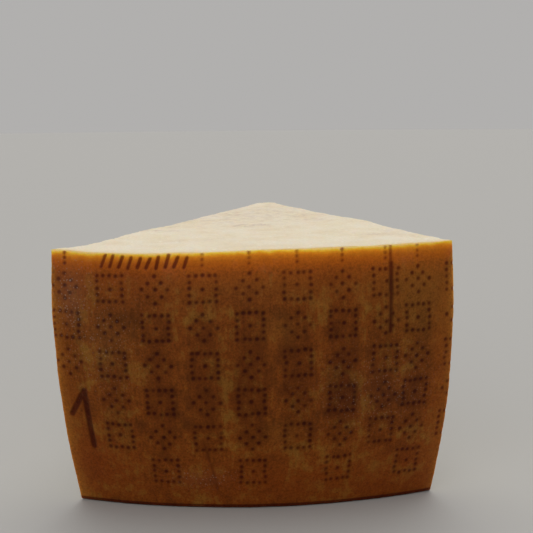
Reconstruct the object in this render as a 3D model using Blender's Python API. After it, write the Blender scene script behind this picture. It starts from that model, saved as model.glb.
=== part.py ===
"""A wedge of hard aged cheese: an eighth of a half wheel, standing on the wheel's flat face with the cut side up.

Metres, +Z up. The rind faces -Y and the tip of the wedge points to +Y. The origin is on the surface that the
wedge stands on, under the middle of its bounding box. While the wedge is worked out, x and y are measured
from the wheel's axis; the finished mesh is then moved over the origin.
"""

import math

import bmesh
import bpy
from mathutils import Vector, noise

# The half wheel that the wedge was cut from
HALF_HEIGHT = 0.1161  # from the wheel's flat face up to the plane where the wheel was split
FACE_RADIUS = 0.2046  # radius of the wheel's flat face, the underside of the wedge
SPLIT_RADIUS = 0.2200  # radius of the rind at the split
BELLY = 0.0068  # how far the barrel side swells out beyond a straight line between those two
FACE_EDGE_RADIUS = 0.0009  # the worn corner between the flat face and the barrel side

# The two knife cuts that free the wedge. Angles are seen from above, turning from -Y towards +X.
LEFT_CUT_ANGLE = math.radians(-24.15)
RIGHT_CUT_ANGLE = math.radians(21.93)
TIP_FROM_WHEEL_AXIS = Vector((0.0140, -0.0019))  # cut by hand, they meet a little beside the wheel's centre
TIP_RADIUS = 0.0055  # the tip crumbles away to a blunt nose

# How far the knife wandered sideways: along the cut, and over its height
LEFT_BOW = 0.0012
LEFT_LEAN = 0.0004
LEFT_HOLLOW = 0.0004
RIGHT_BOW = 0.0008
RIGHT_HOLLOW = 0.0005

# The split across the wheel isn't quite level, and it dips and swells: place, half width and height
SPLIT_SLOPE_X = 0.0134  # rise per metre towards +X
SPLIT_SLOPE_Y = 0.0031  # rise per metre towards the tip
SPLIT_SWELLS = (
    (Vector((-0.077, -0.206)), 0.010, 0.0007),  # the left corner of the rind stands up
    (Vector((-0.038, -0.215)), 0.022, -0.0006),
    (Vector((-0.062, -0.170)), 0.020, -0.0009),
    (Vector((-0.034, -0.105)), 0.030, -0.0004),
    (Vector((0.018, -0.214)), 0.018, 0.0006),
    (Vector((0.061, -0.119)), 0.016, 0.0008),
)

# Unevenness of the surfaces: wavelength and depth, and where in the noise each surface is read
RIND_WAVE_LENGTH = 0.045
RIND_WAVE_DEPTH = 0.0004
PASTE_WAVE_LENGTH = 0.022
PASTE_WAVE_DEPTH = 0.0004
CUTS_IN_NOISE = Vector((36.9, 13.9, 12.9))
TIP_IN_NOISE = Vector((21.4, 2.6, 9.1))
SPLIT_IN_NOISE = Vector((24.8, 42.2, 42.3))
RIND_IN_NOISE = Vector((37.4, 22.9, 9.8))

# Cells of the box that is bent into the wedge
CELLS_ACROSS = 24
CELLS_ALONG = 26
CELLS_UP = 15
ON_SIDE = 1e-4  # a point this near to a side of the box is on it

PASTE_COLOUR = (0.730, 0.610, 0.420, 1.0)
PASTE_ROUGHNESS = 0.60
RIND_COLOUR = (0.235, 0.085, 0.018, 1.0)
RIND_ROUGHNESS = 0.50
CREASE_ANGLE = math.radians(50)  # edges sharper than this stay crisp in shading


def clear_scene():
    """Removes what the file starts with."""
    for thing in list(bpy.data.objects):
        bpy.data.objects.remove(thing, do_unlink=True)


def surface_material(name, colour, roughness):
    """A Principled material in one colour."""
    material = bpy.data.materials.new(name)
    material.use_nodes = True
    shader = material.node_tree.nodes["Principled BSDF"]
    shader.inputs["Base Color"].default_value = colour
    shader.inputs["Roughness"].default_value = roughness
    shader.inputs["Metallic"].default_value = 0.0
    return material


def rind_radius(height):
    """Radius of the barrel side about the wheel's axis, at a height above the flat face."""
    share = height / HALF_HEIGHT
    straight = FACE_RADIUS + (SPLIT_RADIUS - FACE_RADIUS) * share
    swell = BELLY * 4 * share * (1 - share)
    below_corner = max(0.0, FACE_EDGE_RADIUS - height)
    rounding = FACE_EDGE_RADIUS - math.sqrt(FACE_EDGE_RADIUS**2 - below_corner**2)
    return straight + swell - rounding


def ray_meets_circle(start, direction, centre, radius):
    """How far along a ray in plan a circle is met, at its near side and at its far side."""
    offset = start - centre
    towards = offset.dot(direction)
    root = math.sqrt(max(0.0, towards**2 - offset.dot(offset) + radius**2))
    return -towards - root, -towards + root


def direction_at(angle):
    """Unit vector in plan at an angle from -Y towards +X."""
    return Vector((math.sin(angle), -math.cos(angle)))


def nose_centre():
    """Centre in plan of the circle that rounds the tip and touches both cuts."""
    half_angle = (RIGHT_CUT_ANGLE - LEFT_CUT_ANGLE) / 2
    middle = (RIGHT_CUT_ANGLE + LEFT_CUT_ANGLE) / 2
    return TIP_FROM_WHEEL_AXIS + direction_at(middle) * (TIP_RADIUS / math.sin(half_angle))


def split_height(x, y):
    """Height of the split surface above the flat face."""
    height = HALF_HEIGHT + SPLIT_SLOPE_X * x + SPLIT_SLOPE_Y * (y + SPLIT_RADIUS)
    for place, half_width, rise in SPLIT_SWELLS:
        away = (Vector((x, y)) - place).length / half_width
        height += rise * math.exp(-(away**2))
    return height


def knife_wander(across, along, up):
    """Sideways shift where the knife wandered, full at each cut and blended across the body."""
    bow = math.sin(math.pi * along)
    hollow = math.sin(math.pi * up)
    left = LEFT_BOW * bow + LEFT_LEAN * (1 - up) + LEFT_HOLLOW * hollow
    right = RIGHT_HOLLOW * hollow - RIGHT_BOW * bow * (1 - up)
    return left * (1 - across) + right * across


def height_share(up):
    """Share of the height at a row of cells: the first row is the worn corner, the rest are even."""
    corner = FACE_EDGE_RADIUS / HALF_HEIGHT
    rows = up * CELLS_UP
    if rows <= 1:
        return corner * rows
    return corner + (1 - corner) * (rows - 1) / (CELLS_UP - 1)


def wedge_point(across, along, up):
    """Where a point of the unit box lands: across runs from the left cut to the right cut, along from the tip
    to the rind, and up from the flat face to the split."""
    direction = direction_at(LEFT_CUT_ANGLE + (RIGHT_CUT_ANGLE - LEFT_CUT_ANGLE) * across)
    share = height_share(up)
    radius = rind_radius(share * HALF_HEIGHT)
    nose = ray_meets_circle(TIP_FROM_WHEEL_AXIS, direction, nose_centre(), TIP_RADIUS)[0]
    rind = ray_meets_circle(TIP_FROM_WHEEL_AXIS, direction, Vector((0.0, 0.0)), radius)[1]
    plan = TIP_FROM_WHEEL_AXIS + direction * (nose + (rind - nose) * along)
    x = plan.x + knife_wander(across, along, share)
    return Vector((x, plan.y, share * split_height(x, plan.y)))


def unevenness(point, wave_length, depth, place_in_noise):
    """A smooth, repeatable wave at a point, between minus and plus the depth."""
    return noise.noise(point / wave_length + place_in_noise) * depth


def uneven(point, across, along, up):
    """The point with the unevenness of the surfaces that it lies on. The flat face stays flat."""
    moved = point.copy()
    if across < ON_SIDE or across > 1 - ON_SIDE:
        moved.x += unevenness(point, PASTE_WAVE_LENGTH, PASTE_WAVE_DEPTH, CUTS_IN_NOISE)
    if along < ON_SIDE:
        moved.y += unevenness(point, PASTE_WAVE_LENGTH, PASTE_WAVE_DEPTH, TIP_IN_NOISE)
    if up > 1 - ON_SIDE:
        moved.z += unevenness(point, PASTE_WAVE_LENGTH, PASTE_WAVE_DEPTH, SPLIT_IN_NOISE)
    if along > 1 - ON_SIDE:
        outward = Vector((point.x, point.y, 0.0)).normalized()
        moved += outward * unevenness(point, RIND_WAVE_LENGTH, RIND_WAVE_DEPTH, RIND_IN_NOISE)
    return moved


def gridded_box():
    """A box from 0 to 1 on each axis, cut into the wedge's cells."""
    mesh = bmesh.new()
    bmesh.ops.create_cube(mesh, size=1.0)
    bmesh.ops.translate(mesh, verts=mesh.verts, vec=(0.5, 0.5, 0.5))
    for axis, cells in enumerate((CELLS_ACROSS, CELLS_ALONG, CELLS_UP)):
        edges = []
        for edge in mesh.edges:
            span = edge.verts[1].co - edge.verts[0].co
            if abs(span[axis]) > 0.5:
                edges.append(edge)
        bmesh.ops.subdivide_edges(mesh, edges=edges, cuts=cells - 1, use_grid_fill=True)
    return mesh


def stand_on_origin(mesh):
    """Moves the mesh so that the origin is under the middle of its bounding box, at its foot."""
    xs = [vertex.co.x for vertex in mesh.verts]
    ys = [vertex.co.y for vertex in mesh.verts]
    zs = [vertex.co.z for vertex in mesh.verts]
    middle = Vector(((min(xs) + max(xs)) / 2, (min(ys) + max(ys)) / 2, min(zs)))
    bmesh.ops.translate(mesh, verts=mesh.verts, vec=-middle)


def build_wedge(collection):
    """The wedge, one closed solid with its paste and its rind in two materials."""
    mesh = gridded_box()
    rind_vertices = set()
    for vertex in mesh.verts:
        across, along, up = vertex.co
        if along > 1 - ON_SIDE or up < ON_SIDE:
            rind_vertices.add(vertex)
        vertex.co = uneven(wedge_point(across, along, up), across, along, up)
    for face in mesh.faces:
        is_rind = all(vertex in rind_vertices for vertex in face.verts)
        face.material_index = int(is_rind)
        face.smooth = True
    stand_on_origin(mesh)
    bmesh.ops.recalc_face_normals(mesh, faces=mesh.faces)
    data = bpy.data.meshes.new("cheese_wedge")
    mesh.to_mesh(data)
    mesh.free()
    data.materials.append(surface_material("cheese_paste", PASTE_COLOUR, PASTE_ROUGHNESS))
    data.materials.append(surface_material("cheese_rind", RIND_COLOUR, RIND_ROUGHNESS))
    data.set_sharp_from_angle(angle=CREASE_ANGLE)
    collection.objects.link(bpy.data.objects.new("cheese_wedge", data))


def main():
    clear_scene()
    collection = bpy.data.collections.new("cheese")
    bpy.context.scene.collection.children.link(collection)
    build_wedge(collection)


main()
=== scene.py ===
"""The finished look of a wedge of hard aged cheese, cut as an eighth of a half wheel.

It is laid out as an add-on: settings, one operator for the wedge, one for the studio, and a panel. Run as a
script it builds everything once. Metres, +Z up; the rind faces -Y and the tip points to +Y.
"""

import math

import bmesh
import bpy
import numpy as np
from bpy.props import FloatProperty, FloatVectorProperty, PointerProperty
from mathutils import Euler, Matrix, Vector, noise


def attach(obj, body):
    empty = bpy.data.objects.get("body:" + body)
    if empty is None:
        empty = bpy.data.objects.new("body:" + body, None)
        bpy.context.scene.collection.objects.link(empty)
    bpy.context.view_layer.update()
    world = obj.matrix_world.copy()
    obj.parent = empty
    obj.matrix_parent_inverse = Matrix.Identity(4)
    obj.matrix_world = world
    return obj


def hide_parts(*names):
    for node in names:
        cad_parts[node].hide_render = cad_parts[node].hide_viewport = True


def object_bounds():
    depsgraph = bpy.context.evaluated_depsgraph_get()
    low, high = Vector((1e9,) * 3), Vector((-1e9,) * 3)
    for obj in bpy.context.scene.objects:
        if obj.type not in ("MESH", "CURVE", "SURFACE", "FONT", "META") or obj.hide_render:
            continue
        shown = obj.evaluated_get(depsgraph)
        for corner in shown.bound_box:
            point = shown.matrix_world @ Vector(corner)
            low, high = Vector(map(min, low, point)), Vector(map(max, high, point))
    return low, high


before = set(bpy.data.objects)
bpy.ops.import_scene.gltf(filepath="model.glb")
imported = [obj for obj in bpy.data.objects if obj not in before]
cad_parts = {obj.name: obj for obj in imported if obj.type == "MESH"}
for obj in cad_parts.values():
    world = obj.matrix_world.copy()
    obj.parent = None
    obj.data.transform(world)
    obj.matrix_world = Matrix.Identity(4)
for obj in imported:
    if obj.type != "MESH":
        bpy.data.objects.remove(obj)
CAD_LOW, CAD_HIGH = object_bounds()

bl_info = {
    "name": "Aged Cheese Wedge",
    "version": (1, 0, 0),
    "blender": (4, 5, 0),
    "location": "View3D > Sidebar > Cheese",
    "description": "A wedge of hard aged cheese with a dotted barrel rind and cut paste, in a plain studio",
    "category": "Add Mesh",
}

MM = 0.001
NODE = "cheese_wedge"

# The half wheel that the wedge was cut from, as in the solid. Plan positions are from the wheel's axis.
WHEEL_AXIS = Vector((-0.008137, 0.115762))  # where that axis stands in the frame
HALF_HEIGHT = 0.1161
FACE_RADIUS = 0.2046
SPLIT_RADIUS = 0.2200
BELLY = 0.0068
FACE_EDGE_RADIUS = 0.0009

# The two knife cuts, which meet a little beside the wheel's centre
LEFT_CUT_ANGLE = math.radians(-24.15)
RIGHT_CUT_ANGLE = math.radians(21.93)
TIP = Vector((0.0140, -0.0019))
TIP_RADIUS = 0.0055
LEFT_BOW = 0.0012
LEFT_LEAN = 0.0004
LEFT_HOLLOW = 0.0004
RIGHT_BOW = 0.0008
RIGHT_HOLLOW = 0.0005

# The split across the wheel: its slope, then the place, half width and height of each swell
SPLIT_SLOPE_X = 0.0134
SPLIT_SLOPE_Y = 0.0031
SPLIT_SWELLS = (
    (Vector((-0.077, -0.206)), 0.010, 0.0007),
    (Vector((-0.038, -0.215)), 0.022, -0.0006),
    (Vector((-0.062, -0.170)), 0.020, -0.0009),
    (Vector((-0.034, -0.105)), 0.030, -0.0004),
    (Vector((0.018, -0.214)), 0.018, 0.0006),
    (Vector((0.061, -0.119)), 0.016, 0.0008),
)

# The unevenness that the solid also has: wavelength, depth and where in the noise each surface is read
CUT_WAVE = (0.022, 0.0004, Vector((36.9, 13.9, 12.9)))
TIP_WAVE = (0.022, 0.0004, Vector((21.4, 2.6, 9.1)))
SPLIT_WAVE = (0.022, 0.0004, Vector((24.8, 42.2, 42.3)))
RIND_WAVE = (0.045, 0.0004, Vector((37.4, 22.9, 9.8)))

# Finer waves that only the finished piece has: height, wavelength and where in the noise each is read
SKIN_WAVES = ((0.10, 0.009, Vector((1, 2, 3))), (0.06, 0.0022, Vector((4, 5, 6))))  # millimetres high
GRAIN_WAVES = ((0.6, 0.010, Vector((7, 8, 9))), (0.3, 0.004, Vector((2, 6, 1))))  # in parts of the relief
CHIP_WAVES = ((0.6, 0.009, Vector((5, 3, 8))), (0.4, 0.0035, Vector((1, 8, 2))))  # in parts of the wear

# Waves along the crumbled cut edges: wavelength and where in the noise each is read
CRUMB_WAVE = (0.0026, Vector((3, 1, 4)))
NICK_WAVE = (0.007, Vector((9, 9, 2)))

# Relief is set a little into the surface, so that it stays inside the solid
SKIN_INSET = 0.05  # millimetres
GRAIN_INSET = 0.2  # in parts of the grain's relief
GRAIN_SIZE = 0.011
PIT_DEPTH = 0.5  # in parts of the grain's relief
SPLIT_ROUGHNESS = 1.0
KNIFE_ROUGHNESS = 1.7
LEAST_EDGE_WEAR = 0.15
EDGE_WEAR_BESIDE_RIND = 0.45
SMOOTH_UP_TO = math.radians(55)

# Cells of the box that is bent into the wedge, before its faces are divided further
CELLS_ACROSS = 32
CELLS_ALONG = 32
CELLS_UP = 22
RIND_DIVISIONS = 8  # each cell of the rind is cut into this many parts both ways
CORNER_ROWS = 4  # fine rows of the rind that go into the worn corner at its foot

# The sides of that box, each by its axis and its place, and how near a point on a side is to it
LEFT_SIDE, RIGHT_SIDE = (0, 0.0), (0, 1.0)
NOSE_SIDE, RIND_SIDE = (1, 0.0), (1, 1.0)
SPLIT_SIDE = (2, 1.0)
ON_SIDE = 1e-4

# The rind unrolled: millimetres along it from the left cut, and down from the split
RIND_ARC = 175.7
RIND_DROP = 116.1
RIND_CELL = RIND_ARC / (CELLS_ACROSS * RIND_DIVISIONS)

# Columns of pressed dots
DOT_PITCH = 4 * RIND_CELL
DOTS_ACROSS = 5
DOT_SCATTER = 0.18  # how far a dot strays, in millimetres
DOT_FADING = 13.0  # from a well pressed stretch to a faint one
DOT_REACH = 1.55  # in parts of a dot's radius
STEM_ROWS = (0.8, 3.0, 5.3)  # the dots above the first row of a column
FIRST_STEM_EXTRA = 0.4  # the first stem is pressed harder
COLUMNS_WITHOUT_STEM = (1, 2)  # the row of slanted strokes is there
ROWS_OVER_SCORED = 17  # rows of the first column, which ends above the scored strokes
LONG_COLUMN_EXTRA = 6  # more rows in every other column
ORNAMENT = (
    "..#..",
    ".#.#.",
    "#.#.#",
    ".#.#.",
    "..#..",
    ".....",
    "#####",
    "#...#",
    "#.#.#",
    "#...#",
    "#####",
    ".....",
)
SEAM = 145.2  # where the mould's band laps over itself
SEAM_LAP = 4.5

# Stains round the dots and in a band down each column
STAIN_REACH = 1.9
STAIN_STRENGTH = 0.42
BAND_HALF_WIDTH = 7.0
BAND_STRENGTH = 0.46
BAND_STARTS = (6.0, 45.0)
BAND_ENDS = (70.0, 97.0)
# Painted shade along the foot of the rind, where it meets the floor
FOOT_SHADE_STRENGTH = 0.8
FOOT_SHADE_HEIGHTS = (2.4, 1.4)  # above the foot, where the painted shade begins and where it is full

# Strokes on the unrolled rind: start, end, width and strength
STROKE_REACH = 1.1  # in parts of a stroke's width
STROKE_DARKNESS = 1.15
SCORED_STROKES = (
    ((4.5, 72.2), (11.6, 61.0), 1.7, 1.0),
    ((11.6, 61.0), (12.6, 87.0), 1.7, 1.0),
)
SEAM_STROKES = (
    ((145.2, 0.0), (145.2, 7.5), 1.3, 0.50),
    ((145.3, 7.5), (145.1, 19.0), 1.6, 0.68),
    ((145.1, 19.0), (144.8, 36.5), 1.4, 0.60),
)
FAINT_SCRATCHES = (
    ((63.3, 84.0), (67.2, 101.0), 1.2, 0.33),
    ((67.2, 101.0), (68.0, 107.0), 1.2, 0.3),
    ((98.0, 57.0), (101.5, 63.0), 0.9, 0.3),
)

# The row of slanted strokes near the split
SLANTED_FROM, SLANTED_TO = 22.5, 57.5
SLANTED_COUNT = 10
SLANTED_DROP = (1.6, 6.0)
SLANTED_LEAN = 1.5
SLANTED_WIDTH = 1.05

# Places on the unrolled rind: middle, reach and strength
DUSTY_PLACES = (
    ((9.0, 18.0), (9.0, 18.0), 1.0),
    ((20.0, 36.0), (17.0, 26.0), 0.45),
    ((140.0, 62.0), (30.0, 18.0), 0.4),
    ((62.0, 101.0), (16.0, 5.0), 0.6),
)
WARM_PLACES = (
    ((17.0, 97.0), (17.0, 15.0), 0.9),
    ((95.0, 104.0), (60.0, 12.0), 0.8),
    ((155.0, 106.0), (40.0, 16.0), 0.8),
    ((177.0, 78.0), (9.0, 50.0), 0.9),
    ((28.0, 12.0), (28.0, 9.0), 0.8),
    ((120.0, 16.0), (12.0, 8.0), 0.5),
)
AMBER_PLACES = (
    ((158.0, 22.0), (17.0, 20.0), 0.5),
    ((24.0, 38.0), (12.0, 14.0), 0.25),
    ((96.0, 33.0), (8.0, 6.0), 0.3),
    ((98.0, 80.0), (8.0, 6.0), 0.25),
)
STAINED_PLACES = (
    ((125.0, 62.0), (13.0, 14.0), 0.5),
    ((78.0, 58.0), (8.0, 16.0), 0.4),
)

# Faint bruised streaks on the split: middle and reach in millimetres from the wheel's axis, and strength
BRUISED_PLACES = (
    ((-37.5, -140.7), (11.0, 4.5), 0.8),
    ((-1.6, -72.6), (7.0, 6.0), 0.7),
    ((6.3, -127.5), (13.0, 7.0), 1.0),
    ((-14.0, -112.0), (9.0, 5.0), 0.6),
    ((37.8, -106.1), (6.0, 7.0), 0.9),
    ((47.4, -84.9), (8.0, 6.0), 0.8),
    ((65.5, -170.6), (9.0, 6.0), 0.7),
    ((76.2, -159.3), (9.0, 5.0), 0.7),
    ((18.0, -52.0), (8.0, 7.0), 0.5),
    ((-20.0, -180.0), (16.0, 5.0), 0.3),
    ((4.0, -75.0), (50.0, 45.0), 0.7),
)

# Patterns of the two materials: size in millimetres, then how many finer layers each has
RIND_PATTERNS = {"clouds": (21, 3.0), "mottle": (5.5, 4.0), "speckle": (1.5, 3.0), "pores": (0.8, 2.0)}
PASTE_PATTERNS = {"clouds": (17, 4.0), "mottle": (4.5, 4.0), "grain": (1.1, 4.0)}
PATTERN_ROUGHNESS = 0.6
STREAK_WIDTH = 1.7
STREAK_STRETCH = (1.0, 1.0, 0.2)
SPECK_SPACING = 1.2
GRAIN_SPACING = 2.6
CRYSTAL_SPACING = 5.0
CRACK_SPACING = 19
CRACK_BENDING = (0.012, 0.012, 0.012)
RIND_TONES = (0.44, 0.54, 0.65, 0.79)  # where the mottling is amber, brown, umber and dark umber

# Light through the rind, painted into its colour as a glow, from the split or a knife cut inwards; and the
# paste from the rind inwards
SPLIT_GLOW_DEPTHS = (1.3, 17.3)
SPLIT_GLOW_FADES = (5.0, 30.0)
SPLIT_GLOW = (
    (0.012, "F2D488"),
    (0.050, "EFC83E"),
    (0.100, "E29C21"),
    (0.150, "D27F19"),
    (0.250, "B96512"),
    (0.375, "AB5A11"),
    (0.560, "934D12"),
    (1.000, "844A15"),
)
SIDE_GLOW_DEPTH = 14.0
SIDE_GLOW = (
    (0.00, "B8863A"),
    (0.07, "A26A26"),
    (0.18, "965A1C"),
    (0.45, "884A12"),
    (1.00, "7A400E"),
)
RING_DEPTHS = (0.8, 12.8)
RING_FADES = (5.0, 12.8)
RING = (
    (0.00, "B07A36"),
    (0.04, "DDB468"),
    (0.12, "E8CF98"),
    (0.27, "EDDCB6"),
    (0.50, "EEE0C2"),
    (1.00, "F0E3C8"),
)

# What is the same all over each material, on its shader
RIND_SHADER = {
    "IOR": 1.46,
    "Specular IOR Level": 0.08,
    "Subsurface Weight": 0.6,
    "Subsurface Radius": (1.0, 0.42, 0.12),
    "Subsurface Scale": 4.0 * MM,
}
PASTE_SHADER = {
    "Roughness": 0.6,
    "IOR": 1.46,
    "Specular IOR Level": 0.3,
    "Subsurface Weight": 0.3,
    "Subsurface Radius": (1.0, 0.6, 0.3),
    "Subsurface Scale": 2.5 * MM,
}

# Short names for the shader nodes
ATTRIBUTE = "ShaderNodeAttribute"
BUMP = "ShaderNodeBump"
COORDINATES = "ShaderNodeTexCoord"
MAPPING = "ShaderNodeMapping"
MATH = "ShaderNodeMath"
MIX = "ShaderNodeMix"
NOISE = "ShaderNodeTexNoise"
RAMP = "ShaderNodeValToRGB"
RANGE = "ShaderNodeMapRange"
VECTOR_MATH = "ShaderNodeVectorMath"
VORONOI = "ShaderNodeTexVoronoi"

# The Mix node's inputs go by number, because several have the same name
SHARE = 0
NUMBER_UNDER, NUMBER_OVER = 2, 3
UNDER, OVER = 6, 7
COLOUR_MIX = {"output": 2, "data_type": "RGBA"}

# Studio
SUN_SPREAD = math.radians(60)
SUN_COLOUR = "FFFBF4"
SKY_COLOUR = "FFFDFB"
OVERHEAD_TILT, OVERHEAD_TURN = math.radians(22), math.radians(170)
FRONT_TILT, FRONT_TURN = math.radians(65), math.radians(-12)
FLOOR_RADIUS = 6.0
FLOOR_GAP = 0.0001
FLOOR_ROUGHNESS = 0.7

# The photograph's camera, in the frame
IMAGE_SIDE = 533
FOCAL_PIXELS = 1100.1
SENSOR = 36.0
CAMERA_PLACE = Vector((0.005463, -0.551738, 0.1775))
CAMERA_PITCH = math.radians(8.61)
CAMERA_ROLL = math.radians(0.50)


def linear_colour(hex_code):
    """Linear RGBA of an sRGB hex colour."""
    channels = []
    for start in (0, 2, 4):
        value = int(hex_code[start : start + 2], 16) / 255
        channels.append(value / 12.92 if value <= 0.04045 else ((value + 0.055) / 1.055) ** 2.4)
    return (*channels, 1.0)


def colour_setting(label, description, hex_code):
    """A colour that the panel shows."""
    start = linear_colour(hex_code)
    return FloatVectorProperty(
        name=label, description=description, default=start, size=4, subtype="COLOR", min=0, max=1
    )


def length_setting(label, description, metres):
    """A length that the panel shows."""
    return FloatProperty(
        name=label, description=description, default=metres, min=0, unit="LENGTH", precision=5
    )


def light_setting(label, description, strength):
    """The strength of a light that the panel shows."""
    return FloatProperty(name=label, description=description, default=strength, min=0)


class CheeseMarks(bpy.types.PropertyGroup):
    """Sizes of what is pressed and scored into the rind, and of its worn edges"""

    dot_radius: length_setting("Dot radius", "Radius of one pressed dot", 0.95 * MM)
    dot_depth: length_setting("Dot depth", "How deep a dot is pressed", 0.30 * MM)
    score_depth: length_setting("Score depth", "Depth of the scored strokes", 0.55 * MM)
    first_column: length_setting("First column", "From the left cut to the first column of dots", 6.5 * MM)
    column_pitch: length_setting("Column pitch", "From one column of dots to the next", 19.5 * MM)
    first_row: length_setting("First row", "From the split down to the first full row of dots", 9.7 * MM)
    last_row: length_setting("Last row", "From the split down to the last row of a short column", 92 * MM)
    edge_wear: length_setting("Edge wear", "How far the cut edges crumble away", 0.32 * MM)
    tip_wear: length_setting("Tip wear", "How far the tip crumbles away", 1.0 * MM)
    grain_relief: length_setting("Grain relief", "Height of the broken grain on the cut faces", 0.30 * MM)


class CheeseColours(bpy.types.PropertyGroup):
    """Colours of the rind and the paste"""

    rind_amber: colour_setting("Amber", "Lightest parts of the rind", "82581E")
    rind_brown: colour_setting("Brown", "Most of the rind", "773E10")
    rind_umber: colour_setting("Umber", "Rind that is stained by the marks", "5F300C")
    rind_dark: colour_setting("Dark umber", "Darkest stains of the rind", "461F06")
    rind_stain: colour_setting("Stain", "Round the pressed dots", "532406")
    rind_russet: colour_setting("Russet", "Warmer patches near the foot", "723309")
    # This tint also lays the painted shade along the foot
    rind_mark_and_foot_shade: colour_setting("Marks", "Tint of the dots and strokes, over the rind", "A07888")
    rind_bloom: colour_setting("Bloom", "Dry pale specks on the rind", "8C7A68")
    paste_cream: colour_setting("Cream", "Most of the cut paste", "F3E8D2")
    paste_straw: colour_setting("Straw", "Yellower parts of the cut paste", "EFE0C1")
    paste_rose: colour_setting("Rose grey", "Bruised streaks in the paste", "D0BCAA")
    # Painted shade inside the fine cracks
    paste_crack: colour_setting("Cracks", "Inside fine cracks in the paste", "B79B73")


class CheeseStudio(bpy.types.PropertyGroup):
    """Floor and light"""

    floor: colour_setting("Floor", "Plain pale floor", "B6B6B5")
    overhead_strength: light_setting("Overhead", "Wide soft light from above", 1.15)
    front_strength: light_setting("Front", "Wide soft light from the front", 0.87)
    sky_strength: light_setting("Sky", "Even light from all round", 0.44)


def fill_inputs(tree, node, inputs):
    """Gives a shader node its inputs, each a value or another node's output."""
    for name, value in inputs.items():
        if isinstance(value, bpy.types.NodeSocket):
            tree.links.new(value, node.inputs[name])
        else:
            node.inputs[name].default_value = value


def add_node(tree, kind, inputs=None, output=0, stops=(), **settings):
    """Adds a shader node with its inputs and settings, and gives one of its outputs. Stops fill a ramp."""
    made = tree.nodes.new(kind)
    for name, value in settings.items():
        setattr(made, name, value)
    if stops:
        ramp = made.color_ramp
        while len(ramp.elements) < len(stops):
            ramp.elements.new(0.5)
        for element, (position, colour) in zip(ramp.elements, stops):
            element.position = position
            element.color = colour
    fill_inputs(tree, made, inputs or {})
    return made.outputs[output]


def colour_stops(table):
    """Stops of a colour ramp from places and hex colours."""
    return [(position, linear_colour(hex_code)) for position, hex_code in table]


def per_mm(size):
    """Scale that gives a texture features of this size in millimetres."""
    return 1.0 / (size * MM)


def new_material(name):
    """An empty Principled material: the material, its tree and its shader."""
    material = bpy.data.materials.new(name)
    material.use_nodes = True
    tree = material.node_tree
    return material, tree, tree.nodes["Principled BSDF"]


def read_fields(tree, patterns, attributes):
    """Everything that varies over a piece and that its material reads: its Object coordinates as place, noise
    patterns by name, and the numbers that are stored on the mesh."""
    fields = {"place": add_node(tree, COORDINATES, output="Object")}
    for name, (size, detail) in patterns.items():
        inputs = {"Vector": fields["place"], "Scale": per_mm(size), "Detail": detail}
        fields[name] = add_node(tree, NOISE, {**inputs, "Roughness": PATTERN_ROUGHNESS})
    for name in attributes:
        fields[name] = add_node(tree, ATTRIBUTE, output="Fac", attribute_name=name)
    return fields


def rind_body(tree, colours, fields):
    """Browns that are mottled and rubbed in upright streaks, and stained round the marks."""
    stretched = add_node(tree, MAPPING, {"Vector": fields["place"], "Scale": STREAK_STRETCH})
    inputs = {"Vector": stretched, "Scale": per_mm(STREAK_WIDTH), "Detail": 3.0}
    streaks = add_node(tree, NOISE, {**inputs, "Roughness": PATTERN_ROUGHNESS})
    tone = add_node(tree, MATH, {0: fields["mottle"], 1: 0.70, 2: fields["clouds"]}, operation="MULTIPLY_ADD")
    tone = add_node(tree, MATH, {0: streaks, 1: 0.50, 2: tone}, operation="MULTIPLY_ADD")
    tone = add_node(tree, MATH, {0: tone, 1: 0.5}, operation="MULTIPLY")
    browns = (colours.rind_amber, colours.rind_brown, colours.rind_umber, colours.rind_dark)
    body = add_node(tree, RAMP, {"Fac": tone}, stops=list(zip(RIND_TONES, browns)))
    blotchy = add_node(tree, MATH, {0: fields["mottle"], 1: 0.5}, operation="ADD")
    share = add_node(tree, MATH, {0: fields["stain"], 1: blotchy}, operation="MULTIPLY")
    share = add_node(tree, MATH, {0: share, 1: 0.90}, operation="MULTIPLY")
    return add_node(tree, MIX, {SHARE: share, UNDER: body, OVER: colours.rind_stain}, **COLOUR_MIX)


def rind_split_glow(tree, body, fields):
    """Painted light: the glow of light that comes through the paste beside the split, with an uneven border:
    pale gold, then orange.
    """
    inputs = {0: fields["mottle"], 1: 2.6, 2: fields["below_split"]}
    depth = add_node(tree, MATH, inputs, operation="MULTIPLY_ADD")
    start, end = SPLIT_GLOW_DEPTHS
    place = add_node(tree, RANGE, {"Value": depth, "From Min": start, "From Max": end})
    glow = add_node(tree, RAMP, {"Fac": place}, stops=colour_stops(SPLIT_GLOW))
    start, end = SPLIT_GLOW_FADES
    inputs = {"Value": depth, "From Min": start, "From Max": end, "To Min": 1.0, "To Max": 0.0}
    share = add_node(tree, RANGE, inputs, interpolation_type="SMOOTHSTEP")
    return add_node(tree, MIX, {SHARE: share, UNDER: body, OVER: glow}, **COLOUR_MIX)


def rind_side_glow(tree, body, fields):
    """Painted light: the glow of light that comes through beside the knife cuts, dull amber."""
    inputs = {"Value": fields["from_knife"], "From Max": SIDE_GLOW_DEPTH}
    place = add_node(tree, RANGE, inputs)
    glow = add_node(tree, RAMP, {"Fac": place}, stops=colour_stops(SIDE_GLOW))
    share = add_node(tree, RANGE, {**inputs, "To Min": 0.8, "To Max": 0.0})
    return add_node(tree, MIX, {SHARE: share, UNDER: body, OVER: glow}, **COLOUR_MIX)


def rind_places(tree, colour, colours, fields):
    """Warmer and lighter places, patchy like the clouds."""
    patchy = add_node(tree, MATH, {0: fields["clouds"], 1: 0.25}, operation="ADD")
    for name, tint in (("warmth", colours.rind_russet), ("amber", colours.rind_amber)):
        share = add_node(tree, MATH, {0: fields[name], 1: patchy}, operation="MULTIPLY")
        colour = add_node(tree, MIX, {SHARE: share, UNDER: colour, OVER: tint}, **COLOUR_MIX)
    return colour


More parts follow.
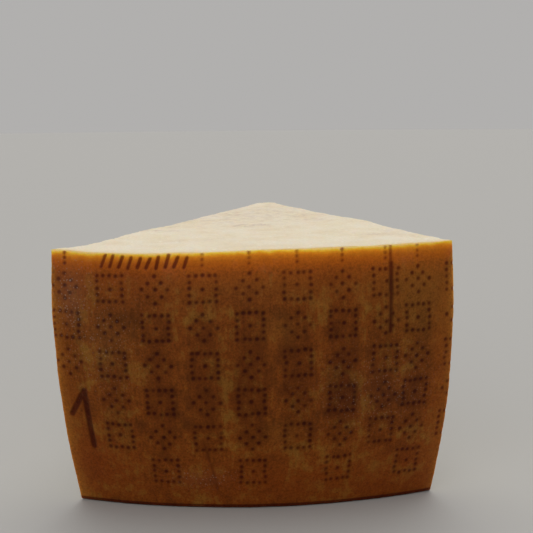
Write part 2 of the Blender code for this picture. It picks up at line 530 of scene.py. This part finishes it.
def rind_grain(tree, colour, fields):
    """Fine grain, which the painted glow drowns near the split."""
    grain = add_node(tree, MATH, {0: fields["speckle"], 1: 0.5, 2: fields["pores"]}, operation="MULTIPLY_ADD")
    inputs = {"Value": grain, "From Min": 0.5, "From Max": 1.0, "To Min": 0.70, "To Max": 1.32}
    uneven = add_node(tree, RANGE, inputs)
    inputs = {"Value": fields["below_split"], "From Min": 1.0, "From Max": 8.0, "To Min": 0.15}
    share = add_node(tree, RANGE, inputs)
    brightness = add_node(tree, MIX, {SHARE: share, NUMBER_UNDER: 1.0, NUMBER_OVER: uneven})
    return add_node(tree, VECTOR_MATH, {0: colour, "Scale": brightness}, operation="SCALE")


def rind_pressed_and_foot_shade(tree, colour, colours, fields):
    """Pressed dots and strokes, a little ragged, which darken what they lie on; the same tint lays painted
    shade along the foot.
    """
    ragged = add_node(tree, MATH, {0: fields["pores"], 1: 0.5, 2: fields["mark"]}, operation="MULTIPLY_ADD")
    inputs = {"Value": ragged, "From Min": 0.27, "From Max": 0.90, "To Max": 0.95}
    share = add_node(tree, RANGE, inputs, interpolation_type="SMOOTHSTEP")
    inputs = {SHARE: share, UNDER: colour, OVER: colours.rind_mark_and_foot_shade}
    return add_node(tree, MIX, inputs, blend_type="MULTIPLY", **COLOUR_MIX)


def rind_dust(tree, colour, colours, fields):
    """Dry pale specks in a thin haze."""
    specks = add_node(tree, VORONOI, {"Vector": fields["place"], "Scale": per_mm(SPECK_SPACING)})
    scattered = add_node(tree, MATH, {0: specks, 1: fields["speckle"]}, operation="SUBTRACT")
    inputs = {"Value": scattered, "From Min": -0.41, "From Max": -0.24, "To Min": 0.8, "To Max": 0.0}
    speck = add_node(tree, RANGE, inputs)
    speck = add_node(tree, MATH, {0: speck, 1: fields["bloom"]}, operation="MULTIPLY")
    haze = add_node(tree, MATH, {0: fields["bloom"], 1: 2.0}, operation="POWER")
    share = add_node(tree, MATH, {0: haze, 1: 0.10, 2: speck}, operation="MULTIPLY_ADD")
    return add_node(tree, MIX, {SHARE: share, UNDER: colour, OVER: colours.rind_bloom}, **COLOUR_MIX)


def rind_material(colours):
    """Natural rind of a brined wheel, aged and rubbed with oil: dark mottled amber, with the dull gloss of
    wax. Beside a cut, the light that comes through the paste is painted into the colour as a gold glow.
    Real pores are too fine to show, so they are drawn coarser."""
    material, tree, shader = new_material("oiled_cheese_rind")
    attributes = ("below_split", "from_knife", "mark", "stain", "bloom", "warmth", "amber")
    fields = read_fields(tree, RIND_PATTERNS, attributes)
    body = rind_body(tree, colours, fields)
    # Painted light: the gold glow beside the split, over the body's colour
    from_split = rind_split_glow(tree, body, fields)
    # Painted light: the dull amber glow beside the knife cuts; the lighter of the two glows is kept
    from_sides = rind_side_glow(tree, body, fields)
    inputs = {SHARE: 1.0, UNDER: from_split, OVER: from_sides}
    colour = add_node(tree, MIX, inputs, blend_type="LIGHTEN", **COLOUR_MIX)
    colour = rind_places(tree, colour, colours, fields)
    colour = rind_grain(tree, colour, fields)
    colour = rind_pressed_and_foot_shade(tree, colour, colours, fields)
    colour = rind_dust(tree, colour, colours, fields)
    skin = add_node(tree, MATH, {0: fields["pores"], 1: 0.5, 2: fields["speckle"]}, operation="MULTIPLY_ADD")
    bump = add_node(tree, BUMP, {"Height": skin, "Strength": 0.6, "Distance": 0.25 * MM})
    inputs = {"Value": fields["mottle"], "From Min": 0.3, "From Max": 0.7, "To Min": 0.44, "To Max": 0.60}
    shine = add_node(tree, RANGE, inputs)
    fill_inputs(tree, shader, {"Base Color": colour, "Roughness": shine, "Normal": bump, **RIND_SHADER})
    return material


def paste_body(tree, colours, fields):
    """Cream that drifts to straw, with bruised streaks."""
    drift = add_node(tree, RANGE, {"Value": fields["clouds"], "From Min": 0.38, "From Max": 0.66})
    inputs = {SHARE: drift, UNDER: colours.paste_cream, OVER: colours.paste_straw}
    body = add_node(tree, MIX, inputs, **COLOUR_MIX)
    inputs = {"Value": fields["mottle"], "From Min": 0.44, "From Max": 0.64, "To Min": 0.1, "To Max": 0.9}
    smudge = add_node(tree, RANGE, inputs)
    smudged = add_node(tree, MATH, {0: smudge, 1: fields["bruise"]}, operation="MULTIPLY")
    inputs = {"Value": fields["clouds"], "From Min": 0.54, "From Max": 0.74, "To Max": 0.35}
    faint = add_node(tree, RANGE, inputs)
    share = add_node(tree, MATH, {0: faint, 1: smudge, 2: smudged}, operation="MULTIPLY_ADD")
    return add_node(tree, MIX, {SHARE: share, UNDER: body, OVER: colours.paste_rose}, **COLOUR_MIX)


def paste_ring(tree, colour, fields):
    """Paste that dries and darkens towards the rind, with an uneven border."""
    inputs = {0: fields["mottle"], 1: 1.6, 2: fields["rind_depth"]}
    depth = add_node(tree, MATH, inputs, operation="MULTIPLY_ADD")
    start, end = RING_DEPTHS
    place = add_node(tree, RANGE, {"Value": depth, "From Min": start, "From Max": end})
    ring = add_node(tree, RAMP, {"Fac": place}, stops=colour_stops(RING))
    start, end = RING_FADES
    inputs = {"Value": depth, "From Min": start, "From Max": end, "To Min": 1.0, "To Max": 0.0}
    share = add_node(tree, RANGE, inputs)
    return add_node(tree, MIX, {SHARE: share, UNDER: colour, OVER: ring}, **COLOUR_MIX)


def paste_crack(tree, fields):
    """How deep in a fine crack each point is. Cracks are bent by the clouds, and come and go."""
    inputs = {0: fields["clouds"].node.outputs["Color"], 1: CRACK_BENDING, 2: fields["place"]}
    bent = add_node(tree, VECTOR_MATH, inputs, operation="MULTIPLY_ADD")
    inputs = {"Vector": bent, "Scale": per_mm(CRACK_SPACING)}
    to_border = add_node(tree, VORONOI, inputs, feature="DISTANCE_TO_EDGE")
    line = add_node(tree, RANGE, {"Value": to_border, "From Max": 0.022, "To Min": 1.0, "To Max": 0.0})
    present = add_node(tree, RANGE, {"Value": fields["mottle"], "From Min": 0.58, "From Max": 0.70})
    return add_node(tree, MATH, {0: line, 1: present}, operation="MULTIPLY")


def paste_crystals(tree, colour, fields):
    """White crystals."""
    spots = add_node(tree, VORONOI, {"Vector": fields["place"], "Scale": per_mm(CRYSTAL_SPACING)})
    inputs = {"Value": spots, "From Min": 0.08, "From Max": 0.15, "To Min": 0.8, "To Max": 0.0}
    share = add_node(tree, RANGE, inputs)
    return add_node(tree, MIX, {SHARE: share, UNDER: colour, OVER: linear_colour("FBF6EA")}, **COLOUR_MIX)


def paste_bump(tree, crack, fields):
    """Fine relief of grains, with the cracks sunk in."""
    inputs = {"Vector": fields["place"], "Scale": per_mm(GRAIN_SPACING)}
    grains = add_node(tree, VORONOI, inputs, feature="SMOOTH_F1")
    height = add_node(tree, MATH, {0: fields["mottle"], 1: 1.4, 2: fields["grain"]}, operation="MULTIPLY_ADD")
    height = add_node(tree, MATH, {0: grains, 1: 0.8, 2: height}, operation="MULTIPLY_ADD")
    height = add_node(tree, MATH, {0: height, 1: crack}, operation="SUBTRACT")
    return add_node(tree, BUMP, {"Height": height, "Strength": 0.9, "Distance": 0.6 * MM})


def paste_material(colours):
    """Paste of a dry, fatty, grainy cheese, sawn by hand: pale cream, matt and softly translucent, with
    bruised streaks, fine cracks and white crystals, and straw-coloured just under the rind."""
    material, tree, shader = new_material("grainy_cheese_paste")
    fields = read_fields(tree, PASTE_PATTERNS, ("rind_depth", "bruise"))
    colour = paste_body(tree, colours, fields)
    colour = paste_ring(tree, colour, fields)
    crack = paste_crack(tree, fields)
    # Painted shade: the paste darkens a little towards the crack colour inside the fine cracks
    share = add_node(tree, MATH, {0: crack, 1: 0.25}, operation="MULTIPLY")
    colour = add_node(tree, MIX, {SHARE: share, UNDER: colour, OVER: colours.paste_crack}, **COLOUR_MIX)
    inputs = {"Value": fields["grain"], "From Min": 0.3, "From Max": 0.7, "To Min": 0.94, "To Max": 1.05}
    brightness = add_node(tree, RANGE, inputs)
    colour = add_node(tree, VECTOR_MATH, {0: colour, "Scale": brightness}, operation="SCALE")
    colour = paste_crystals(tree, colour, fields)
    bump = paste_bump(tree, crack, fields)
    fill_inputs(tree, shader, {"Base Color": colour, "Normal": bump, **PASTE_SHADER})
    return material


def deselect_all():
    """Leaves object mode with nothing selected."""
    if bpy.context.mode != "OBJECT":
        bpy.ops.object.mode_set(mode="OBJECT")
    bpy.ops.object.select_all(action="DESELECT")


def divide(body, wanted, cuts, kind):
    """Selects the edges or faces that a test wants, in edit mode, and subdivides them."""
    mesh = bmesh.from_edit_mesh(body.data)
    bpy.ops.mesh.select_all(action="DESELECT")
    for item in getattr(mesh, kind):
        if wanted(item):
            item.select_set(True)
    bmesh.update_edit_mesh(body.data)
    bpy.ops.mesh.subdivide(number_cuts=cuts)


def edge_runs_along(axis):
    """A test for the edges that run along one axis of the box."""

    def test(edge):
        span = edge.verts[1].co - edge.verts[0].co
        return abs(span[axis]) > 0.5 * span.length

    return test


def face_lies_on(*sides):
    """A test for the faces on some sides of the box, each side named by its axis and its place."""

    def test(face):
        middle = face.calc_center_median()
        return any(abs(middle[axis] - place) < ON_SIDE for axis, place in sides)

    return test


def add_gridded_box(name):
    """A box from 0 to 1 on each axis, with fine cells on the rind, medium ones on the cuts and coarse ones
    below."""
    deselect_all()
    bpy.ops.mesh.primitive_cube_add(size=1.0, location=(0.5, 0.5, 0.5))
    body = bpy.context.active_object
    body.name = name
    bpy.ops.object.transform_apply(location=True, rotation=True, scale=True)
    bpy.ops.object.mode_set(mode="EDIT")
    bpy.ops.mesh.select_mode(type="EDGE")
    for axis, cells in enumerate((CELLS_ACROSS, CELLS_ALONG, CELLS_UP)):
        divide(body, edge_runs_along(axis), cells - 1, "edges")
    bpy.ops.mesh.select_mode(type="FACE")
    for _ in range(2):
        divide(body, face_lies_on(LEFT_SIDE, RIGHT_SIDE, NOSE_SIDE, RIND_SIDE, SPLIT_SIDE), 1, "faces")
    divide(body, face_lies_on(RIND_SIDE), 1, "faces")
    bpy.ops.object.mode_set(mode="OBJECT")
    return body


def face_outwards():
    """Turns the faces of the active piece outwards, because the bend mirrors the box."""
    bpy.ops.object.mode_set(mode="EDIT")
    bpy.ops.mesh.select_all(action="SELECT")
    bpy.ops.mesh.normals_make_consistent(inside=False)
    bpy.ops.object.mode_set(mode="OBJECT")


def vertex_places(mesh):
    """The vertices of a mesh as rows of x, y and z."""
    places = np.zeros(len(mesh.vertices) * 3, np.float32)
    mesh.vertices.foreach_get("co", places)
    return places.reshape(-1, 3).astype(float)


def vertex_normals(mesh):
    """The vertex normals of a mesh as rows of x, y and z."""
    normals = np.zeros(len(mesh.vertices) * 3, np.float32)
    mesh.vertices.foreach_get("normal", normals)
    return normals.reshape(-1, 3).astype(float)


def rind_radius(height):
    """Radius of the barrel side about the wheel's axis."""
    share = height / HALF_HEIGHT
    straight = FACE_RADIUS + (SPLIT_RADIUS - FACE_RADIUS) * share
    swell = BELLY * 4 * share * (1 - share)
    below_corner = np.maximum(0.0, FACE_EDGE_RADIUS - height)
    rounding = FACE_EDGE_RADIUS - np.sqrt(FACE_EDGE_RADIUS**2 - below_corner**2)
    return straight + swell - rounding


def ray_meets_circle(direction, centre, radius):
    """How far from the tip a ray in plan meets a circle, at its near side and at its far side."""
    offset = np.array(TIP - centre)
    towards = direction @ offset
    root = np.sqrt(np.maximum(0.0, towards**2 - offset @ offset + radius**2))
    return -towards - root, -towards + root


def nose_centre():
    """Centre in plan of the circle that rounds the tip."""
    half_angle = (RIGHT_CUT_ANGLE - LEFT_CUT_ANGLE) / 2
    middle = (RIGHT_CUT_ANGLE + LEFT_CUT_ANGLE) / 2
    return TIP + Vector((math.sin(middle), -math.cos(middle))) * (TIP_RADIUS / math.sin(half_angle))


def split_height(x, y):
    """Height of the split surface above the flat face."""
    height = HALF_HEIGHT + SPLIT_SLOPE_X * x + SPLIT_SLOPE_Y * (y + SPLIT_RADIUS)
    for place, half_width, rise in SPLIT_SWELLS:
        away = ((x - place.x) ** 2 + (y - place.y) ** 2) / half_width**2
        height = height + rise * np.exp(-away)
    return height


def height_share(up):
    """Share of the height at a place up the box. The lowest rows go into the worn corner."""
    corner = FACE_EDGE_RADIUS / HALF_HEIGHT
    corner_up = CORNER_ROWS / (CELLS_UP * RIND_DIVISIONS)
    above = corner + (1 - corner) * (up - corner_up) / (1 - corner_up)
    return np.where(up < corner_up, corner * up / corner_up, above)


def bend_into_wedge(box):
    """Where the points of the box land, from the wheel's axis. The box's x runs from the left cut to the
    right cut, its y from the tip to the rind, and its z from the flat face to the split."""
    across, along, up = box.T
    angle = LEFT_CUT_ANGLE + (RIGHT_CUT_ANGLE - LEFT_CUT_ANGLE) * across
    direction = np.column_stack((np.sin(angle), -np.cos(angle)))
    share = height_share(up)
    nose = ray_meets_circle(direction, nose_centre(), TIP_RADIUS)[0]
    rind = ray_meets_circle(direction, Vector((0.0, 0.0)), rind_radius(share * HALF_HEIGHT))[1]
    plan = np.array(TIP) + direction * (nose + (rind - nose) * along)[:, None]
    bow = np.sin(math.pi * along)
    hollow = np.sin(math.pi * share)
    left = LEFT_BOW * bow + LEFT_LEAN * (1 - share) + LEFT_HOLLOW * hollow
    right = RIGHT_HOLLOW * hollow - RIGHT_BOW * bow * (1 - share)
    x = plan[:, 0] + left * (1 - across) + right * across
    y = plan[:, 1]
    return np.column_stack((x, y, share * split_height(x, y)))


class Sides:
    """Which sides of the box each vertex lies on."""

    def __init__(self, box):
        self.knife = (box[:, 0] < ON_SIDE) | (box[:, 0] > 1 - ON_SIDE)
        self.nose = box[:, 1] < ON_SIDE
        self.barrel = box[:, 1] > 1 - ON_SIDE
        self.foot = box[:, 2] < ON_SIDE
        self.split = box[:, 2] > 1 - ON_SIDE
        self.rind = self.barrel | self.foot
        self.paste = self.knife | self.nose | self.split
        self.edge = self.knife & (self.split | self.rind) | self.split & self.barrel


def noise_at(places, length, shift):
    """Smooth noise between about -1 and 1 at each place, with waves of this length."""
    return np.array([noise.noise(Vector(place) / length + shift) for place in places])


def grain_at(places, size):
    """0 at the middle of each grain of about this size, and up to 1 at its border."""
    borders = []
    for place in places:
        distances, _ = noise.voronoi(Vector(place) / size)
        borders.append(distances[0] / max(distances[1], 1e-6))
    return np.array(borders)


def solid_unevenness(places, sides):
    """The places with the unevenness that the solid has. The flat face stays flat."""
    moved = places.copy()
    for chosen, axis, (length, depth, shift) in (
        (sides.knife, 0, CUT_WAVE),
        (sides.nose, 1, TIP_WAVE),
        (sides.split, 2, SPLIT_WAVE),
    ):
        moved[chosen, axis] += noise_at(places[chosen], length, shift) * depth
    length, depth, shift = RIND_WAVE
    barrel = places[sides.barrel]
    outward = barrel[:, :2] / np.linalg.norm(barrel[:, :2], axis=1)[:, None]
    moved[sides.barrel, :2] += outward * (noise_at(barrel, length, shift) * depth)[:, None]
    return moved


def smooth_step(value, start, end):
    """0 before start, 1 after end and smooth between."""
    share = np.clip((value - start) / (end - start), 0.0, 1.0)
    return share * share * (3 - 2 * share)


def snap(value):
    """The nearest line of the rind's mesh, in millimetres."""
    return round(value / RIND_CELL) * RIND_CELL


def columns_of_dots(marks):
    """How many columns of dots reach the rind between the cuts."""
    return int((RIND_ARC + SEAM_LAP) * MM / marks.column_pitch) + 1


def column_middle(column, marks):
    """Where a column of dots stands along the rind. The columns past the seam are nearer by the lap."""
    middle = (marks.first_column + column * marks.column_pitch) / MM
    return middle - SEAM_LAP if middle > SEAM else middle


def rows_of_dots(column, marks):
    """How many rows a column has. The first ends above the scored strokes, and every other one is longer."""
    if column == 0:
        return ROWS_OVER_SCORED
    rows = int((marks.last_row - marks.first_row) / MM / DOT_PITCH)
    return rows if column % 2 else rows + LONG_COLUMN_EXTRA


def column_dots(column, strength, marks, rng):
    """The dots of the ornament in one column. Every other column starts half a repeat later."""
    middle = snap(column_middle(column, marks))
    shift = len(ORNAMENT) // 2 * (column % 2)
    dots = []
    for row in range(rows_of_dots(column, marks)):
        drop = snap(marks.first_row / MM + row * DOT_PITCH)
        for place, character in enumerate(ORNAMENT[(row + shift) % len(ORNAMENT)]):
            if character == "#":
                along = middle + (place - DOTS_ACROSS // 2) * DOT_PITCH
                faded = 0.5 + 0.5 * noise.noise(Vector((along, drop, 0.0)) / DOT_FADING + Vector((3, 7, 5)))
                pressed = strength * rng.uniform(0.5, 1.0) * min(1.0, 0.35 + 1.3 * faded)
                dots.append((along + rng.normal(0, DOT_SCATTER), drop + rng.normal(0, DOT_SCATTER), pressed))
    return dots


def pressed_dots(marks):
    """Every pressed dot on the unrolled rind: its place along, its place down and its strength."""
    rng = np.random.default_rng(7)
    dots = []
    for column in range(columns_of_dots(marks)):
        strength = rng.uniform(0.75, 1.0)
        if column not in COLUMNS_WITHOUT_STEM:
            extra = 0.0 if column else FIRST_STEM_EXTRA
            for drop in STEM_ROWS:
                dots.append((snap(column_middle(column, marks)), drop, rng.uniform(0.1, 0.4) + extra))
        dots += column_dots(column, strength, marks, rng)
    return dots


def slanted_strokes():
    """A border of slanted strokes near the split."""
    rng = np.random.default_rng(3)
    top_drop, foot_drop = SLANTED_DROP
    strokes = []
    for place in np.linspace(SLANTED_FROM, SLANTED_TO, SLANTED_COUNT):
        top = (place + SLANTED_LEAN + rng.normal(0, 0.25), top_drop + rng.normal(0, 0.3))
        foot = (place + rng.normal(0, 0.25), foot_drop + rng.normal(0, 0.3))
        strokes.append((top, foot, SLANTED_WIDTH, rng.uniform(0.72, 0.95)))
    return tuple(strokes)


def distance_to_stroke(along, down, start, end):
    """Distance on the unrolled rind from each vertex to a straight stroke."""
    run = np.array(end) - np.array(start)
    offset_along, offset_down = along - start[0], down - start[1]
    share = np.clip((offset_along * run[0] + offset_down * run[1]) / (run @ run), 0.0, 1.0)
    return np.hypot(offset_along - share * run[0], offset_down - share * run[1])


def soft_patches(across, down, places):
    """Soft patches on a flattened surface, from 0 to 1."""
    total = np.zeros(len(across))
    for (middle_across, middle_down), (reach_across, reach_down), strength in places:
        away = ((across - middle_across) / reach_across) ** 2 + ((down - middle_down) / reach_down) ** 2
        total = np.maximum(total, strength * np.exp(-away))
    return total


def column_bands(along, down, marks):
    """A stained band down each column of dots, from 0 to 1. It fades at its top and its foot."""
    from_middle = np.full(len(along), np.inf)
    for column in range(columns_of_dots(marks)):
        from_middle = np.minimum(from_middle, np.abs(along - column_middle(column, marks)))
    across = np.exp(-((from_middle / BAND_HALF_WIDTH) ** 4))
    return across * smooth_step(down, *BAND_STARTS) * (1 - smooth_step(down, *BAND_ENDS))


def rind_marks_and_foot_shade(along, down, marks):
    """For each vertex of the barrel side: how marked it is, with painted shade along the foot, how deep, and
    how stained.
    """
    mark = np.zeros(len(along))
    depth = np.zeros(len(along))
    stain = np.zeros(len(along))
    reach = DOT_REACH * marks.dot_radius / MM
    for dot_along, dot_down, strength in pressed_dots(marks):
        away = np.hypot(along - dot_along, down - dot_down)
        nearness = np.clip(1 - away / reach, 0.0, 1.0)
        mark = np.maximum(mark, nearness * (0.5 + 0.5 * strength))
        depth = np.maximum(depth, smooth_step(nearness, 0.15, 0.8) * strength * marks.dot_depth)
        stain += strength * np.exp(-((away / STAIN_REACH) ** 2))
    for start, end, width, strength in SCORED_STROKES + SEAM_STROKES + FAINT_SCRATCHES + slanted_strokes():
        away = distance_to_stroke(along, down, start, end)
        nearness = np.clip(1 - away / (STROKE_REACH * width), 0.0, 1.0)
        mark = np.maximum(mark, nearness * strength * STROKE_DARKNESS)
        depth = np.maximum(depth, smooth_step(nearness, 0.2, 0.7) * strength**2 * marks.score_depth)
    bands = column_bands(along, down, marks)
    stain = stain * STAIN_STRENGTH + bands * BAND_STRENGTH + soft_patches(along, down, STAINED_PLACES)
    # Painted shade: the lowest millimetres of the rind are darkened, where it meets the floor
    shade_start, shade_full = FOOT_SHADE_HEIGHTS
    foot_shade = FOOT_SHADE_STRENGTH * smooth_step(down, RIND_DROP - shade_start, RIND_DROP - shade_full)
    return np.maximum(mark, foot_shade), depth, np.clip(stain, 0.0, 1.0)


def keep_inside_solid(places):
    """Pulls in what stands out of the solid's box."""
    return np.clip(places, np.array(CAD_LOW), np.array(CAD_HIGH))


def write_attribute(mesh, name, values):
    """Stores one number for each vertex."""
    attribute = mesh.attributes.new(name, "FLOAT", "POINT")
    attribute.data.foreach_set("value", values.astype(np.float32))


def rind_faces(mesh, rind):
    """1 for each face whose vertices are all on the rind, and 0 for the others."""
    loops = np.zeros(len(mesh.loops), np.int32)
    mesh.loops.foreach_get("vertex_index", loops)
    starts = np.zeros(len(mesh.polygons), np.int32)
    mesh.polygons.foreach_get("loop_start", starts)
    return np.minimum.reduceat(rind[loops].astype(np.int32), starts)


def distance_from_knife(places):
    """Millimetres from each place to the nearer knife cut."""
    from_tip = places[:, :2] - np.array(TIP)
    left = from_tip @ np.array((math.cos(LEFT_CUT_ANGLE), math.sin(LEFT_CUT_ANGLE)))
    right = from_tip @ np.array((-math.cos(RIGHT_CUT_ANGLE), -math.sin(RIGHT_CUT_ANGLE)))
    return np.minimum(left, right) / MM


def depth_under_rind(places):
    """Millimetres from each place to the nearest rind, at the barrel side or below."""
    radius = np.linalg.norm(places[:, :2], axis=1)
    barrel = rind_radius(np.clip(places[:, 2], 0, HALF_HEIGHT)) - radius
    return np.clip(np.minimum(barrel, places[:, 2]), 0, None) / MM


def waves_at(places, waves):
    """Waves of several lengths at each place, added up."""
    total = np.zeros(len(places))
    for height, length, shift in waves:
        total = total + height * noise_at(places, length, shift)
    return total


def cut_relief(places, on_split):
    """Broken grain and pits on the cut faces, in parts of the grain's relief. Knife cuts are rougher."""
    pits = smooth_step(grain_at(places, GRAIN_SIZE), 0.75, 1.0)
    roughness = np.where(on_split, SPLIT_ROUGHNESS, KNIFE_ROUGHNESS)
    return (waves_at(places, GRAIN_WAVES) - PIT_DEPTH * pits - GRAIN_INSET) * roughness


def crumbled_edge(places, on_rind):
    """How far the cut edges crumble away, in parts of the edge wear."""
    crumbs = np.abs(noise_at(places, *CRUMB_WAVE))
    nicks = smooth_step(noise_at(places, *NICK_WAVE), 0.25, 0.5)
    beside_rind = np.where(on_rind, EDGE_WEAR_BESIDE_RIND, 1.0)
    return (LEAST_EDGE_WEAR + (1 - LEAST_EDGE_WEAR) * (crumbs + nicks)) * beside_rind


def surface_relief(places, sides, depth, marks):
    """How far each vertex moves along its normal."""
    relief = np.zeros(len(places))
    skin = waves_at(places[sides.barrel], SKIN_WAVES)
    relief[sides.barrel] = (skin - SKIN_INSET) * MM - depth
    cut = sides.paste & ~sides.barrel & ~sides.foot
    relief[cut] = cut_relief(places[cut], sides.split[cut]) * marks.grain_relief
    chips = waves_at(places[sides.nose], CHIP_WAVES)
    relief[sides.nose] -= np.clip(0.5 + 1.3 * chips, 0.0, None) * marks.tip_wear
    relief[sides.edge] -= crumbled_edge(places[sides.edge], sides.barrel[sides.edge]) * marks.edge_wear
    return relief


def store_looks(mesh, places, sides, values):
    """Stores what the materials read at each vertex. The values are for the rind alone."""
    values = {name: (sides.barrel, numbers) for name, numbers in values.items()}
    bruise = soft_patches(places[sides.split, 0] / MM, places[sides.split, 1] / MM, BRUISED_PLACES)
    values["bruise"] = (sides.split, bruise)
    for name, (chosen, numbers) in values.items():
        everywhere = np.zeros(len(places))
        everywhere[chosen] = numbers
        write_attribute(mesh, name, everywhere)
    write_attribute(mesh, "below_split", (split_height(places[:, 0], places[:, 1]) - places[:, 2]) / MM)
    write_attribute(mesh, "from_knife", distance_from_knife(places))
    write_attribute(mesh, "rind_depth", depth_under_rind(places))


def build_wedge(marks, colours):
    """The finished wedge, one closed piece."""
    body = add_gridded_box("wedge_finished")
    mesh = body.data
    box = vertex_places(mesh)
    sides = Sides(box)
    places = solid_unevenness(bend_into_wedge(box), sides)
    mesh.vertices.foreach_set("co", places.astype(np.float32).ravel())
    mesh.update()
    face_outwards()

    along = box[sides.barrel, 0] * RIND_ARC
    down = (1 - height_share(box[sides.barrel, 2])) * RIND_DROP
    mark, depth, stain = rind_marks_and_foot_shade(along, down, marks)
    relief = surface_relief(places, sides, depth, marks)
    moved = places + vertex_normals(mesh) * relief[:, None]
    moved[sides.foot, 2] = 0.0
    moved[:, :2] += np.array(WHEEL_AXIS)
    mesh.vertices.foreach_set("co", keep_inside_solid(moved).astype(np.float32).ravel())

    on_rind = {"mark": mark, "stain": stain}
    for name, patches in (("bloom", DUSTY_PLACES), ("warmth", WARM_PLACES), ("amber", AMBER_PLACES)):
        on_rind[name] = soft_patches(along, down, patches)
    store_looks(mesh, places, sides, on_rind)
    mesh.materials.clear()
    mesh.materials.append(paste_material(colours))
    mesh.materials.append(rind_material(colours))
    mesh.polygons.foreach_set("material_index", rind_faces(mesh, sides.rind))
    mesh.update()
    deselect_all()
    body.select_set(True)
    bpy.context.view_layer.objects.active = body
    bpy.ops.object.shade_smooth_by_angle(angle=SMOOTH_UP_TO)
    return body


class CHEESE_OT_wedge(bpy.types.Operator):
    """Builds the finished wedge over the solid"""

    bl_idname = "cheese.wedge"
    bl_label = "Wedge"

    def execute(self, context):
        scene = context.scene
        body = build_wedge(scene.cheese_marks, scene.cheese_colours)
        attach(body, "root")
        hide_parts(NODE)
        return {"FINISHED"}


def add_camera():
    """The camera at the photograph's place and angle."""
    data = bpy.data.cameras.new("camera")
    data.sensor_width = SENSOR
    data.lens = FOCAL_PIXELS * SENSOR / IMAGE_SIDE
    camera = bpy.data.objects.new("camera", data)
    tilt = Euler((math.radians(90) - CAMERA_PITCH, 0.0, 0.0)).to_matrix()
    roll = Matrix.Rotation(-CAMERA_ROLL, 3, "Z")
    camera.matrix_world = Matrix.Translation(CAMERA_PLACE) @ (tilt @ roll).to_4x4()
    bpy.context.scene.collection.objects.link(camera)
    bpy.context.scene.camera = camera


def add_sun(name, strength, tilt, turn):
    """A wide soft light from far away, tilted from straight above and turned about the wedge."""
    data = bpy.data.lights.new(name, "SUN")
    data.energy = strength
    data.angle = SUN_SPREAD
    data.color = linear_colour(SUN_COLOUR)[:3]
    sun = bpy.data.objects.new(name, data)
    sun.rotation_euler = Euler((tilt, 0.0, turn))
    bpy.context.scene.collection.objects.link(sun)


def add_sky(strength):
    """Even light from all round."""
    world = bpy.data.worlds.new("studio_sky")
    world.use_nodes = True
    background = world.node_tree.nodes["Background"]
    background.inputs["Color"].default_value = linear_colour(SKY_COLOUR)
    background.inputs["Strength"].default_value = strength
    bpy.context.scene.world = world


def add_floor(colour):
    """A wide plain floor, just under the wedge."""
    deselect_all()
    place = (0.0, 0.0, -FLOOR_GAP)
    bpy.ops.mesh.primitive_circle_add(vertices=96, radius=FLOOR_RADIUS, fill_type="NGON", location=place)
    floor = bpy.context.active_object
    floor.name = "floor"
    material, tree, shader = new_material("matt_painted_board")
    fill_inputs(tree, shader, {"Base Color": colour, "Roughness": FLOOR_ROUGHNESS})
    floor.data.materials.append(material)


class CHEESE_OT_studio(bpy.types.Operator):
    """Adds the floor, the lights and the camera"""

    bl_idname = "cheese.studio"
    bl_label = "Studio"

    def execute(self, context):
        studio = context.scene.cheese_studio
        add_floor(studio.floor)
        add_sun("overhead", studio.overhead_strength, OVERHEAD_TILT, OVERHEAD_TURN)
        add_sun("front", studio.front_strength, FRONT_TILT, FRONT_TURN)
        add_sky(studio.sky_strength)
        context.scene.view_settings.view_transform = "Standard"
        add_camera()
        return {"FINISHED"}


class CHEESE_PT_panel(bpy.types.Panel):
    """Lists the settings and the pieces"""

    bl_label = "Aged Cheese Wedge"
    bl_idname = "CHEESE_PT_panel"
    bl_space_type = "VIEW_3D"
    bl_region_type = "UI"
    bl_category = "Cheese"

    def draw(self, context):
        layout = self.layout
        for group in (context.scene.cheese_marks, context.scene.cheese_colours, context.scene.cheese_studio):
            for name in group.bl_rna.properties.keys():
                if name not in {"rna_type", "name"}:
                    layout.prop(group, name)
        layout.operator(CHEESE_OT_wedge.bl_idname)
        layout.operator(CHEESE_OT_studio.bl_idname)


CLASSES = (CheeseMarks, CheeseColours, CheeseStudio, CHEESE_OT_wedge, CHEESE_OT_studio, CHEESE_PT_panel)


def register():
    """Adds the classes, and the settings to the scene."""
    for cls in CLASSES:
        bpy.utils.register_class(cls)
    bpy.types.Scene.cheese_marks = PointerProperty(type=CheeseMarks)
    bpy.types.Scene.cheese_colours = PointerProperty(type=CheeseColours)
    bpy.types.Scene.cheese_studio = PointerProperty(type=CheeseStudio)


def unregister():
    """Takes the settings and the classes away again."""
    del bpy.types.Scene.cheese_studio
    del bpy.types.Scene.cheese_colours
    del bpy.types.Scene.cheese_marks
    for cls in reversed(CLASSES):
        bpy.utils.unregister_class(cls)


def main():
    """Builds the studio and the wedge once."""
    register()
    bpy.ops.cheese.studio()
    bpy.ops.cheese.wedge()


if __name__ == "__main__":
    main()
